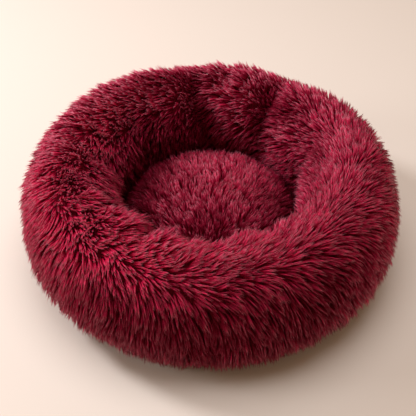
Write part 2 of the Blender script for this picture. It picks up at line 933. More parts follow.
def add_node(tree: NodeTree, kind: str, inputs: dict[Any, Any] | None = None,
             stops: Stops = (), **settings: Any) -> Node:
    """Adds a node, sets its properties, and fills its sockets with values or links.

    Args:
        tree: The material's node tree.
        kind: The node's type name.
        inputs: For each input's name or number, a value or the socket that feeds it.
        stops: The places and sRGB hex values of the node's colour ramp, where it has one.
        **settings: The node's own properties.

    Returns:
        The new node.
    """
    node = tree.nodes.new(kind)
    for name, value in settings.items():
        setattr(node, name, value)
    for key, value in (inputs or {}).items():
        if isinstance(value, NodeSocket):
            tree.links.new(value, node.inputs[key])
        else:
            node.inputs[key].default_value = value
    for number, (position, text) in enumerate(stops):
        elements = node.color_ramp.elements
        element = elements[number] if number < len(elements) else elements.new(1.0)
        element.position, element.color = position, colour(text)
    return node


@dataclass(frozen=True)
class Finish:
    """A finish: one Principled surface in a plain tint, unless it is dressed by nodes of its own."""

    name: str
    roughness: float = 0.6
    metallic: float = 0.0
    specular: float = 0.5
    specular_tint: str = "#FFFFFF"
    sheen: float = 0.0
    tint: str = "#FFFFFF"

    SHEEN_ROUGHNESS = 0.45

    def material(self) -> Material:
        """Makes the finish's material.

        Returns:
            The new material.
        """
        made = bpy.data.materials.new(self.name)
        made.use_nodes = True
        tree = made.node_tree
        tree.nodes.clear()
        shader = add_node(tree, "ShaderNodeBsdfPrincipled", {
            "Roughness": self.roughness, "Metallic": self.metallic,
            "Specular IOR Level": self.specular, "Specular Tint": colour(self.specular_tint),
            "Sheen Weight": self.sheen, "Sheen Roughness": self.SHEEN_ROUGHNESS,
            **self.dress(tree)})
        add_node(tree, "ShaderNodeOutputMaterial", {"Surface": shader.outputs["BSDF"]})
        return made

    def dress(self, tree: NodeTree) -> dict[str, Any]:
        """The values or sockets that feed the shader's colour and relief."""
        return {"Base Color": colour(self.tint)}


@dataclass(frozen=True)
class MattPaint(Finish):
    """Matt paint: plain, pale and even."""


@dataclass(frozen=True)
class PlushPile(Finish):
    """Long polyester pile, heat set and piece dyed wine red.

    The fibres are clear-cut and a little glossy, so their tips look pink where they catch the
    light, and the dye looks nearly black down between the locks. The strand's texture place
    gives its tone and how far along it a point lies.
    """

    dark: Stops = ((0.0, "#540010"), (0.45, "#560010"), (0.76, "#70001E"), (1.0, "#9A0A30"))
    light: Stops = ((0.0, "#9A0228"), (0.45, "#BC0C3A"), (0.8, "#EE3868"), (1.0, "#FFB8C8"))

    def dress(self, tree: NodeTree) -> dict[str, Any]:
        """Colour = the dark and the light root-to-tip ramps, mixed by the strand's tone.

        Args:
            tree: The material's node tree.

        Returns:
            The socket of the shader's colour.
        """
        place = add_node(tree, "ShaderNodeUVMap", uv_map=BAKE_UV)
        parts = add_node(tree, "ShaderNodeSeparateXYZ", {0: place.outputs["UV"]})
        dark, light = (add_node(tree, "ShaderNodeValToRGB", {"Fac": parts.outputs["Y"]}, stops)
                       for stops in (self.dark, self.light))
        mix = add_node(tree, "ShaderNodeMix", {
            0: parts.outputs["X"], 6: dark.outputs["Color"], 7: light.outputs["Color"]},
            data_type="RGBA")
        return {"Base Color": mix.outputs[2]}


class PatternPlace(Enum):
    """What a pattern follows: the node, its output and its settings.

    AXES is the object's own axes, and STRIP the piece's texture places, in metres.
    """

    AXES = ("ShaderNodeTexCoord", "Object", {})
    STRIP = ("ShaderNodeUVMap", "UV", {"uv_map": WEAVE_UV})


@dataclass(frozen=True)
class Patterned(Finish):
    """A finish with a pattern: its shade picks the colour from a ramp, and its height is a relief."""

    stops: Stops = ()
    follows: PatternPlace = PatternPlace.AXES
    relief_strength: float = 0.5
    relief_depth: float = 0.3 * MM
    sunken: bool = False

    def dress(self, tree: NodeTree) -> dict[str, Any]:
        """Feeds the ramp and the bump from the finish's own pattern.

        Args:
            tree: The material's node tree.

        Returns:
            The sockets of the shader's colour and normal.
        """
        kind, output, settings = self.follows.value
        place = add_node(tree, kind, **settings).outputs[output]
        shade, height = self.pattern(tree, place)
        ramp = add_node(tree, "ShaderNodeValToRGB", {"Fac": shade}, self.stops)
        relief = add_node(tree, "ShaderNodeBump", {
            "Height": height, "Strength": self.relief_strength, "Distance": self.relief_depth},
            invert=self.sunken)
        return {"Base Color": ramp.outputs["Color"], "Normal": relief.outputs["Normal"]}

    def pattern(self, tree: NodeTree, place: NodeSocket) -> tuple[NodeSocket, NodeSocket]:
        """The pattern's nodes, which each finish has of its own.

        Args:
            tree: The material's node tree.
            place: The socket of the place that the pattern follows.

        Returns:
            The sockets of the shade and of the height.
        """
        raise NotImplementedError


@dataclass(frozen=True)
class KnitBacking(Patterned):
    """Warp-knitted polyester ground cloth that carries the pile: matt, deep wine, fine ribs."""

    rib: float = 2.4 * MM
    clump_ribs: float = 6.0
    stops: Stops = ((0.1, "#6A061C"), (0.6, "#8A0C2A"))

    # The period of the wave node at a scale of 1
    WAVE_PERIOD = 0.314

    def pattern(self, tree: NodeTree, place: NodeSocket) -> tuple[NodeSocket, NodeSocket]:
        """Ribs are a sine of height, and their shade is broken by noise a few ribs wide.

        Args:
            tree: The material's node tree.
            place: The socket of the object's own axes.

        Returns:
            The sockets of the shade and of the height.
        """
        noise = add_node(tree, "ShaderNodeTexNoise", {
            "Vector": place, "Scale": 1 / (self.clump_ribs * self.rib), "Detail": 4.0})
        ribs = add_node(tree, "ShaderNodeTexWave", {
            "Vector": place, "Scale": self.WAVE_PERIOD / self.rib, "Distortion": 2.0,
            "Detail": 1.0}, bands_direction="Z").outputs["Fac"]
        shade = add_node(tree, "ShaderNodeMath", {0: noise.outputs["Fac"], 1: ribs}, operation="MULTIPLY")
        return shade.outputs[0], ribs


@dataclass(frozen=True)
class SpunLining(Patterned):
    """Spun-bonded polypropylene, point bonded: off-white and papery, with rows of small dimples."""

    dimple: float = 2.5 * MM
    stops: Stops = ((0.1, "#BFB8AA"), (0.4, "#DAD4C8"))
    relief_strength: float = 0.4
    relief_depth: float = 0.2 * MM

    def pattern(self, tree: NodeTree, place: NodeSocket) -> tuple[NodeSocket, NodeSocket]:
        """Dimples are the near cells of a Voronoi pattern one dimple apart.

        Args:
            tree: The material's node tree.
            place: The socket of the object's own axes.

        Returns:
            The sockets of the shade and of the height.
        """
        cells = add_node(tree, "ShaderNodeTexVoronoi", {
            "Vector": place, "Scale": 1 / self.dimple, "Randomness": 0.3}).outputs["Distance"]
        return cells, cells


@dataclass(frozen=True)
class Cloudy(Patterned):
    """A finish whose tone drifts in soft clouds.

    FibreFill and Worn say what the clouds are on each material.
    """

    cloud: float = 14 * MM
    detail: float = 3.0
    grain: float = 0.5

    def pattern(self, tree: NodeTree, place: NodeSocket) -> tuple[NodeSocket, NodeSocket]:
        """Clouds are a noise one cloud wide.

        Args:
            tree: The material's node tree.
            place: The socket of the object's own axes.

        Returns:
            The sockets of the shade and of the height.
        """
        noise = add_node(tree, "ShaderNodeTexNoise", {
            "Vector": place, "Scale": 1 / self.cloud, "Detail": self.detail,
            "Roughness": self.grain}).outputs["Fac"]
        return noise, noise


@dataclass(frozen=True)
class FibreFill(Cloudy):
    """Carded hollow polyester fibre: white and cloudy, with soft clumps."""

    detail: float = 8.0
    grain: float = 0.7
    stops: Stops = ((0.3, "#D2CCC2"), (0.65, "#F1EEE8"))
    relief_strength: float = 0.8
    relief_depth: float = 2 * MM


@dataclass(frozen=True)
class Worn(Cloudy):
    """Nylon or plated zinc with a little handling wear: a base tone, paler where it is worn."""

    cloud: float = 4 * MM
    stops: Stops = ((0.4, "#6B1A2C"), (0.7, "#8A3346"))
    relief_strength: float = 0.15
    relief_depth: float = 0.05 * MM


@dataclass(frozen=True)
class Woven(Patterned):
    """Plain-woven cloth or tape: crossing threads that show as a fine checked relief."""

    thread: float = 1.2 * MM
    relief_strength: float = 0.6
    relief_depth: float = 0.25 * MM

    def pattern(self, tree: NodeTree, place: NodeSocket) -> tuple[NodeSocket, NodeSocket]:
        """Height = sin(x) sin(y) over the thread spacing, so that over and under alternate.

        Args:
            tree: The material's node tree.
            place: The socket of the object's own axes, or of the places along the tape.

        Returns:
            The sockets of the shade and of the height.
        """
        turns = add_node(tree, "ShaderNodeVectorMath", {
            0: place, 1: (math.pi / self.thread,) * 3}, operation="MULTIPLY")
        parts = add_node(tree, "ShaderNodeSeparateXYZ", {0: turns.outputs[0]})
        warp, weft = (add_node(tree, "ShaderNodeMath", {0: parts.outputs[axis]}, operation="SINE")
                      for axis in ("X", "Y"))
        check = add_node(tree, "ShaderNodeMath", {0: warp.outputs[0], 1: weft.outputs[0]},
                         operation="MULTIPLY")
        height = add_node(tree, "ShaderNodeMath", {0: check.outputs[0], 1: 0.5, 2: 0.5},
                          operation="MULTIPLY_ADD").outputs[0]
        return height, height


@dataclass(frozen=True)
class GripDots(Patterned):
    """Oxford cloth with a coated back: dark, faintly glossy, with printed vinyl grip dots."""

    spacing: float = 12 * MM
    stops: Stops = ((0.2, "#6E3A42"), (0.23, "#34161B"))
    relief_strength: float = 0.4
    relief_depth: float = 0.4 * MM
    sunken: bool = True

    def pattern(self, tree: NodeTree, place: NodeSocket) -> tuple[NodeSocket, NodeSocket]:
        """Dots are discs round the cells of a regular Voronoi grid, one spacing apart.

        Args:
            tree: The material's node tree.
            place: The socket of the object's own axes.

        Returns:
            The sockets of the shade and of the height, which falls away from a dot's middle.
        """
        flat = add_node(tree, "ShaderNodeVectorMath", {0: place, 1: (1.0, 1.0, 0.0)},
                        operation="MULTIPLY")
        cells = add_node(tree, "ShaderNodeTexVoronoi", {
            "Vector": flat.outputs[0], "Scale": 1 / self.spacing, "Randomness": 0.0},
            voronoi_dimensions="2D").outputs["Distance"]
        return cells, cells


# The zip's place

@dataclass(frozen=True)
class ZipLine:
    """The arc that the zip follows, low at the ring's back.

    A point of the zip's own section is (u, v): u up the ring's slope from the chain's middle, and v
    outwards from the tapes' middle. Its radius is r0 + u * t_r + v * t_z and its height
    z0 + u * t_z - v * t_r, where (t_r, t_z) is the slope's unit direction.
    """

    radius: float = 274.022 * MM
    height: float = 27 * MM
    inset: float = 13 * MM
    slope: tuple[float, float] = (0.3929, 0.9196)
    first: float = 28.0
    last: float = 152.0
    chain_first: float = 37.4
    chain_last: float = 144.0
    tape_edge: float = 12.2 * MM

    def place(self, azimuth: Array, u: Array, v: Array) -> Array:
        """The points at these azimuths with these places in the zip's section."""
        radius = self.radius + u * self.slope[0] + v * self.slope[1]
        return turned(radius, azimuth, self.height + u * self.slope[1] - v * self.slope[0])

    def up_slope(self, points: Array) -> Array:
        """How far up the slope from the chain's middle each point lies."""
        out = np.hypot(points[..., 0], points[..., 1]) - self.radius
        return out * self.slope[0] + (points[..., 2] - self.height) * self.slope[1]

    def share_at(self, azimuth: Array, fade: float = 3.0) -> Array:
        """1 along the zip and 0 away from it, fading over some degrees past its ends.

        Args:
            azimuth: The places' azimuths.
            fade: The degrees that it fades over.

        Returns:
            The share at each place.
        """
        middle, half = (self.first + self.last) / 2, (self.last - self.first) / 2
        past = np.abs(turn_between(azimuth, middle)) - half
        return passed(past, fade, 0)


# Sub-assemblies

@dataclass(frozen=True)
class RingNap:
    """How the ring's pile varies over it: angles in degrees, heights in metres, the rest as shares.

    A lock is looser, and so follows its tuft more, where the pile is ruffled, inside the parting
    and near it. What is called broad or fine is a soft noise.
    """

    parting_width: float = 38.0
    parting_wander: float = 5.0
    swirl_reach: float = 100.0
    swirl_loss: float = 0.6
    broad_turn: float = 10.0
    fine_turn: float = 6.0
    ruffled_turn: float = 8.0
    tuft_turn: float = 22.0
    inside_width: float = 30.0
    loose: float = 0.1
    loose_inside: float = 0.3
    loose_ruffled: float = 0.8
    loose_parting: float = 0.3
    upright_parting: float = 0.12
    upright_ruffled: float = 0.15
    upright_tuft: float = 0.2
    upright_inside: float = 0.25
    inside_angles: tuple[float, float] = (130.0, 160.0)
    upright_foot: float = 0.12
    foot_angles: tuple[float, float] = (40.0, 0.0)
    upright_least: float = -0.35
    whorl_share: float = 0.3

    density: float = 0.80
    density_crown: float = 0.44
    crown_middle: float = 100.0
    crown_width: float = 34.0
    thinning: float = 0.2
    thin_angles: tuple[float, float] = (165.0, 190.0)
    lengths: tuple[float, float] = (0.86, 1.12)
    length_tuft: float = 0.08
    length_broad: float = 0.05
    length_foot: float = 0.5
    foot_heights: tuple[float, float] = (4 * MM, 49 * MM)
    length_tuck: float = 0.25
    tuck_share: float = 0.2
    sag_outside: float = 0.16
    sag_inside: float = 0.10
    tone: float = 0.5
    tone_lock: float = 0.2
    tone_tuft: float = 0.08
    tone_parting: float = 0.12
    tone_broad: float = 0.05
    tone_tuck: float = 0.25
    tone_low: float = 0.2
    low_heights: tuple[float, float] = (90 * MM, 0.0)
    open_from: float = 0.2
    open_rate: float = 1.1
    open_most: float = 0.8


@dataclass
class PlushRing:
    """The ring: its knitted cover, the pile on it, the lining bag and the filling."""

    shape: RingShape = RingShape()
    zip_line: ZipLine = ZipLine()
    nap: RingNap = RingNap()
    pile_depth: float = 17 * MM
    root_depth: float = 0.5 * MM
    cover_back: float = 19.6 * MM
    hem_gap: float = 0.2 * MM
    hem_heights: tuple[float, float] = (0.4 * MM, 1.3 * MM)
    lining_inset: float = 20.8 * MM
    lining_cloth: float = 0.6 * MM
    lining_lift: float = 0.4 * MM
    seam_gap: float = 3 * MM
    bag_girth: float = 500 * MM
    filling_inset: float = 23.0 * MM
    filling_lift: float = 3.2 * MM
    lump_height: float = 1.5 * MM
    base_top: float = 1.9 * MM
    pile_foot: float = 3 * MM
    zip_side: float = 45.0
    azimuth_steps: int = 240
    outline_steps: int = 96
    lining_steps: int = 56
    filling_steps: int = 48
    sectors: int = 9
    # The settling skin's grid, start, cap, the heights over which it comes free and over which its
    # moves come in, and the crease share from which a tuck holds it, and how firmly
    settle_grid: tuple[int, int] = (220, 66)
    settle_start: float = 1.5 * MM
    settle_cap: float = 4 * MM
    settle_free: tuple[float, float] = (55 * MM, 25 * MM)
    settle_kept: tuple[float, float] = (55 * MM, 85 * MM)
    settle_tuck: float = 0.15
    settle_hold: float = 0.9
    pile: PileSpec = PileSpec(lock_spacing=4.1 * MM, strands_per_lock=4, length=30 * MM,
                              width=1.15 * MM, lock_radius=2.0 * MM, lie_tilt=60.0, seed=11)
    # Beside the zip: the strip left bare, how long locks are below it, and how they grow above it
    zip_margin: float = 0.6 * MM
    zip_fade: float = 1.5
    zip_reach: float = 60.0
    length_below: float = 9 * MM
    length_above: float = 8 * MM
    growth_from: float = 5 * MM
    growth_rate: float = 1.05

    # Points along the section when the pile is spread over it
    SPREAD_POINTS = 4001
    # The cover's section across the zip: millimetres up the slope, millimetres below the pile's tips
    ZIP_SECTION = ((-30, 17), (-15, 7.4), (-12.6, 6.9), (-11.6, 13.1), (-5, 13.9), (0, 14.4),
                   (5, 14.6), (11.6, 14.5), (12.6, 6.9), (15, 7.4), (30, 17))
    # Section angle at which the pile parts, by azimuth, from the photographed bed
    PARTING = ((0, 112), (30, 101), (60, 104), (100, 120), (140, 130), (168, 128), (190, 105),
               (205, 86), (223, 88), (250, 80), (270, 75), (292, 93), (327, 112))
    # How far the pile outside the parting turns from straight down to along the ring, by azimuth
    OUTER_SWIRL = ((0, 42), (20, 50), (43, 60), (80, 72), (110, 62), (135, 52), (165, 20),
                   (200, 2), (235, 2), (250, 10), (270, 14), (300, 33), (325, 30))
    # The same inside the parting, by azimuth
    INNER_SWIRL = ((0, 45), (10, 40), (40, 52), (75, 50), (95, 25), (120, 0), (150, -5), (180, 0),
                   (205, 25), (226, 34), (250, 30), (270, 12), (290, 20), (310, 33), (335, 55))
    # Crowns that the locks point away from: azimuth, section angle, reach
    WHORLS = ((223, 96, 52 * MM), (196, 100, 34 * MM))
    # Ruffled tufts, whose locks stand up and point every way: azimuth, section angle, reach
    RUFFLES = ((205, 92, 26 * MM), (186, 112, 32 * MM), (165, 130, 30 * MM), (141, 130, 28 * MM),
               (110, 124, 32 * MM), (62, 132, 26 * MM), (14, 103, 22 * MM), (272, 62, 20 * MM))
    # Where brushing has left the nap paler or deeper: azimuth, reach, section angle, reach, change
    NAP = ((218, 62, 68, 58, 0.52), (262, 55, 88, 34, 0.06), (160, 34, 118, 28, 0.45),
           (238, 24, 80, 24, 0.25), (107, 16, 112, 22, 0.06), (95, 60, 104, 32, -0.48),
           (110, 80, 168, 46, -0.60), (160, 50, 182, 34, -0.45), (90, 12, 150, 45, -0.60),
           (57, 10, 115, 50, -0.60), (5, 14, 128, 30, -0.45), (40, 26, 118, 42, -0.60),
           (226, 14, 116, 26, 0.30), (254, 16, 104, 34, 0.50), (241, 6, 132, 30, -0.40),
           (270, 75, 8, 62, -0.60), (302, 34, 38, 40, -0.30), (276, 28, 99, 28, 0.25),
           (338, 28, 130, 40, -0.25), (212, 18, 98, 30, 0.30), (270, 3.5, 22, 44, -0.40))

    def settle(self) -> None:
        """Lets the ring's stuffed skin settle, and keeps how far it moves in the ring's shape.

        The skin is held where it is sewn to the base and along its tucks. Its moves fade out low
        down, where the zip and the base need the plain shape.
        """
        rows, columns = self.settle_grid
        azimuth = even_azimuths(rows)
        foot = self.shape.even_angles(self.pile_depth, CROWN - INNER_SIDE, CROWN + INNER_SIDE,
                                      columns + 1)[None, :-1]
        before = self.shape.point(azimuth, foot, self.pile_depth + self.settle_start)
        normal = tangents(self.shape, azimuth, foot, self.pile_depth)[2]
        creased = self.shape.crease_share(azimuth, foot)
        held = np.maximum(passed(before[..., 2], *self.settle_free),
                          passed(creased, 0, self.settle_tuck) * self.settle_hold)
        skin = ring_piece("settling_ring", before)
        after = StuffedSkin().settled(skin, held).reshape(before.shape)
        moved = ((after - before) * normal).sum(-1)
        kept = passed(before[..., 2], *self.settle_kept)
        self.shape = replace(self.shape, moves=SkinMoves.kept(foot[0], moved, kept, self.settle_cap))

    def nap_tone(self, azimuth: Array, angle: Array) -> Array:
        """The change of tone from the nap: the sum of smooth two-way hills.

        Args:
            azimuth: The locks' azimuths.
            angle: Their section angles.

        Returns:
            The change of each lock's tone.
        """
        total = np.zeros_like(azimuth)
        for centre, reach, section, spread, change in self.NAP:
            hill = bump(turn_between(azimuth, centre), reach) * bump(angle - section, spread)
            total = total + change * hill
        return total

    def cover_inset(self, azimuth: Array, angle: Array) -> Array:
        """How far the cover's outside lies below the pile's tips.

        It is the pile's depth, but along the zip the cloth comes up to a folded edge beside each
        tape, with a tray between them that lies behind the tapes.

        Args:
            azimuth: The places' azimuths.
            angle: Their section angles.

        Returns:
            The inset at each place.
        """
        u = self.zip_line.up_slope(self.shape.point(azimuth, angle, self.zip_line.inset))
        places, insets = np.array(self.ZIP_SECTION).T * MM
        change = np.interp(u, places, insets) - self.pile_depth
        outside = (angle < CROWN) & (np.abs(u) < places[-1])
        return self.pile_depth + np.where(outside, change * self.zip_line.share_at(azimuth), 0)

    def outline_angles(self, inset: float, foot_height: float, count: int) -> Array:
        """Section angles from the outer foot over the crown to the inner foot.

        Args:
            inset: The outline's depth below the pile's tips.
            foot_height: The height of both feet.
            count: How many angles.

        Returns:
            The angles, evenly spaced along the outline.
        """
        return self.shape.even_angles(inset, self.shape.foot_angle(inset, foot_height, True),
                                      self.shape.foot_angle(inset, foot_height, False), count)

    def cover(self, material: Material) -> Object:
        """The cover's knitted ground cloth: a thin shell, open underneath where the base closes it.

        Its outer foot turns in as a hem, which meets the base's binding. The outside has a row of
        points at every knot of its section across the zip.

        Args:
            material: The cloth's finish.

        Returns:
            The new piece.
        """
        azimuth = even_azimuths(self.azimuth_steps)
        angles = self.outline_angles(self.pile_depth, self.base_top, self.outline_steps)
        line = np.array(self.ZIP_SECTION)[:, 0] * MM
        low = angles[angles < self.zip_side]
        up = self.zip_line.up_slope(self.shape.plain_section(low, self.zip_line.inset))
        outer_angles = np.unique(np.concatenate([angles, np.interp(line, up, low)]))[None]
        outside = self.shape.point(azimuth, outer_angles, self.cover_inset(azimuth, outer_angles))
        inner_angles = self.outline_angles(self.cover_back, self.base_top, self.outline_steps // 3)
        inside = self.shape.point(azimuth, inner_angles[None, ::-1], self.cover_back)
        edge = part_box("base_binding")[1].x - self.hem_gap
        below, above = (turned(edge, azimuth, height) for height in self.hem_heights)
        piece = ring_piece("ring_cover_cloth", np.concatenate([below, outside, inside, above], 1))
        return finish_piece(piece, Body.BED, Slot.PLUSH, material, "ring_cover")

    def lining(self, material: Material) -> Object:
        """The lining bag: a thin closed shell round the filling, open along its stuffing seam.

        Args:
            material: The cloth's finish.

        Returns:
            The new piece.
        """
        azimuth = even_azimuths(self.azimuth_steps // 2)
        middle = self.shape.middle_radius
        layers = []
        for layer, order in ((0.0, 1), (self.lining_cloth, -1)):
            inset, height = self.lining_inset + layer, self.base_top + self.lining_lift + layer
            angles = self.outline_angles(inset, height, self.lining_steps)
            wall = self.shape.point(azimuth, angles[None], inset)
            inner, outer = (turned(middle + gap, azimuth, height)
                            for gap in (-self.seam_gap, self.seam_gap))
            layers.append(np.concatenate([outer, wall, inner], 1)[:, ::order])
        piece = ring_piece("ring_liner_bag", np.concatenate(layers, 1))
        return finish_piece(piece, Body.BED, Slot.LINING, material, "ring_liner")

    def filling(self, material: Material) -> Object:
        """The fibre filling: a lumpy closed ring inside the bag.

        Args:
            material: The fibre's finish.

        Returns:
            The new piece.
        """
        azimuth = even_azimuths(self.azimuth_steps // 2)
        angles = self.outline_angles(self.filling_inset, self.base_top + self.filling_lift,
                                     self.filling_steps)[None]
        place = self.shape.point(azimuth, angles, self.filling_inset)
        lump = np.clip(SoftNoise(wavelength=30 * MM, seed=3).value(place), -1, 1)
        place = self.shape.point(azimuth, angles, self.filling_inset + (1 + lump) * self.lump_height)
        piece = ring_piece("ring_filling_fibre", place)
        return finish_piece(piece, Body.BED, Slot.WADDING, material, "ring_filling")

    def spots(self, table: tuple[tuple[float, float, float], ...], place: Array
              ) -> Iterable[tuple[Array, Array]]:
        """The round spots of a table, one after the other.

        Args:
            table: Each spot's azimuth, section angle and reach.
            place: Where the locks stand.

        Yields:
            Each lock's way from the spot's middle, and the spot's smooth hill there.
        """
        for azimuth, angle, reach in table:
            away = place - self.shape.point(np.float64(azimuth), np.float64(angle), self.pile_depth)
            yield away, bump(np.linalg.norm(away, axis=-1), reach)

    def lie_direction(self, azimuth: Array, angle: Array, place: Array,
                      axes: tuple[Array, Array, Array], tufts: Tufts
                      ) -> tuple[Array, Array, Array, Array]:
        """Which way each lock lies, and how upright it stands.

        Outside the parting it lies down the ring's outside, inside it down into the nest, turned
        towards the ring's own direction by the swirl; close to the parting it lies nearly along the
        ring. Whorls push the locks round them outwards, and two soft noises turn them a little.

        Args:
            azimuth: The locks' azimuths.
            angle: Their section angles.
            place: Where they stand.
            axes: Unit vectors along the azimuth, along the section angle and outwards.
            tufts: The tufts that they belong to.

        Returns:
            Unit vectors in the surface, and three values for each lock: how far it stands up, how
            loose its tuft is, and how near it is to the parting.
        """
        nap = self.nap
        along, across, normal = axes
        parting = table_at(azimuth, self.PARTING)
        parting = parting + nap.parting_wander * SoftNoise(60 * MM, seed=21).value(place)
        outer = angle < parting
        near = np.exp(-((angle - parting) / nap.parting_width) ** 2)
        ruffled = np.zeros_like(near)
        for _, hill in self.spots(self.RUFFLES, place):
            ruffled = np.maximum(ruffled, hill)

        low = passed(parting - angle, 0, nap.swirl_reach)
        swirl = np.where(outer, table_at(azimuth, self.OUTER_SWIRL) * (1 - nap.swirl_loss * low),
                         table_at(azimuth, self.INNER_SWIRL))
        swirl = swirl + (FULL_TURN / 4 - swirl) * near
        heading = np.where(outer, swirl, FULL_TURN / 2 - swirl)
        heading = heading + nap.broad_turn * SoftNoise(55 * MM, seed=22).value(place)
        fine_turn = nap.fine_turn + nap.ruffled_turn * ruffled
        heading = heading + fine_turn * SoftNoise(18 * MM, seed=23).value(place)
        inside = passed(angle - parting, 0, nap.inside_width)
        loose = np.maximum(nap.loose_ruffled * ruffled, nap.loose_parting * near)
        loose = np.maximum(nap.loose + nap.loose_inside * inside, loose)
        heading = heading + nap.tuft_turn * loose * tufts.turn

        turn = np.radians(heading)[:, None]
        lie = along * np.sin(turn) - across * np.cos(turn)
        for away, hill in self.spots(self.WHORLS, place):
            share = hill[:, None] * nap.whorl_share
            lie = lie * (1 - share) + unit(along_surface(away, normal)) * share
        upright = np.maximum(near * nap.upright_parting, ruffled * nap.upright_ruffled)
        upright = upright + nap.upright_tuft * loose * tufts.stand
        upright = upright + nap.upright_inside * passed(angle, *nap.inside_angles)
        upright = upright + nap.upright_foot * passed(angle, *nap.foot_angles)
        lie = unit(along_surface(lie, normal))
        return lie, np.clip(upright, nap.upright_least, 1), loose, near

    def locks(self) -> tuple[Locks, Array]:
        """Every lock of the ring's pile.

        They stand closer on the crown, and are shorter at the foot, in the tucks and beside the
        zip. Their tone changes with the tuft, the parting, the tucks, the height and the nap.

        Returns:
            The locks, and the azimuth of each.
        """
        spec, nap = self.pile, self.nap
        rng = np.random.default_rng(spec.seed)
        angles = self.outline_angles(self.pile_depth, self.base_top + self.pile_foot, self.SPREAD_POINTS)
        crown = np.exp(-((angles - nap.crown_middle) / nap.crown_width) ** 2)
        density = nap.density + nap.density_crown * crown
        density = density * (1 - nap.thinning * passed(angles, *nap.thin_angles))
        outline = self.shape.plain_section(angles, self.pile_depth)[:, [0, 2]]
        azimuth, angle = spec.places(outline, angles, density, rng)
        axes = tangents(self.shape, azimuth, angle, self.pile_depth)
        normal = axes[2]
        place = self.shape.point(azimuth, angle, self.cover_inset(azimuth, angle) + self.root_depth)
        tufts = Tufts.over(place, spec, rng)
        lie, upright, loose, near = self.lie_direction(azimuth, angle, place, axes, tufts)

        length = spec.length * rng.uniform(*nap.lengths, len(angle))
        length = length * (1 + nap.length_tuft * loose * tufts.length)
        length = length * (1 + nap.length_broad * SoftNoise(35 * MM, seed=24).value(place))
        high = passed(place[:, 2], *nap.foot_heights)
        tucked = passed(self.shape.crease_share(azimuth, angle), 0, nap.tuck_share)
        length = length * (1 - nap.length_foot * (1 - high)) * (1 - nap.length_tuck * tucked)
        length, keep = self.trim_for_zip(azimuth, place, angle, spec.sheared(length, upright))
        outer = angle < CROWN
        sag = np.where(outer, nap.sag_outside, nap.sag_inside) * (1 - normal[:, 2].clip(0, 1))

        tone = nap.tone + rng.normal(0, nap.tone_lock, len(angle))
        tone = tone + nap.tone_tuft * loose * tufts.tone + nap.tone_parting * near
        tone = tone + nap.tone_broad * SoftNoise(45 * MM, seed=25).value(place)
        tone = tone - nap.tone_tuck * tucked
        tone = tone - nap.tone_low * passed(place[:, 2], *nap.low_heights) * outer
        tone = tone + self.nap_tone(azimuth, angle)
        share = spec.tuft_gather * loose * length / spec.length
        pull = along_surface(tufts.to_centre * share[:, None], normal)
        openness = np.clip(nap.open_rate * (loose - nap.open_from), 0, nap.open_most)
        made = Locks(place, normal, lie, length, upright, sag, tone, pull, openness)
        return made.taken(keep), azimuth[keep]

    def trim_for_zip(self, azimuth: Array, place: Array, angle: Array,
                     length: Array) -> tuple[Array, Array]:
        """Shortens the locks above and below the zip, and leaves its tapes bare.

        Above it, a lock may be longer the further up the slope it stands.

        Args:
            azimuth: The locks' azimuths.
            place: Where they stand.
            angle: Their section angles.
            length: Their lengths.

        Returns:
            The lengths, and which locks are kept.
        """
        up = self.zip_line.up_slope(place)
        beside = (self.zip_line.share_at(azimuth, self.zip_fade) > 0.5) & (angle < self.zip_reach)
        bare = beside & (np.abs(up) < self.zip_line.tape_edge + self.zip_margin)
        above = np.maximum(self.length_above, (up - self.growth_from) * self.growth_rate)
        most = np.where(up > 0, above, self.length_below)
        return np.where(beside, np.minimum(length, most), length), ~bare

    def build(self, pile: Material, cloth: Material, lining: Material, fibre: Material) -> None:
        """Builds every piece of the ring.

        Args:
            pile: The pile's finish.
            cloth: The cover's.
            lining: The lining bag's.
            fibre: The filling's.
        """
        self.settle()
        self.filling(fibre)
        self.lining(lining)
        self.cover(cloth)
        locks, azimuth = self.locks()
        grower = Pile(self.pile)
        sector = (azimuth / FULL_TURN * self.sectors).astype(int) % self.sectors
        for number in range(self.sectors):
            piece = grower.piece(f"ring_pile_{number + 1}", locks.taken(sector == number))
            finish_piece(piece, Body.BED, Slot.PLUSH, pile, "ring_cover")


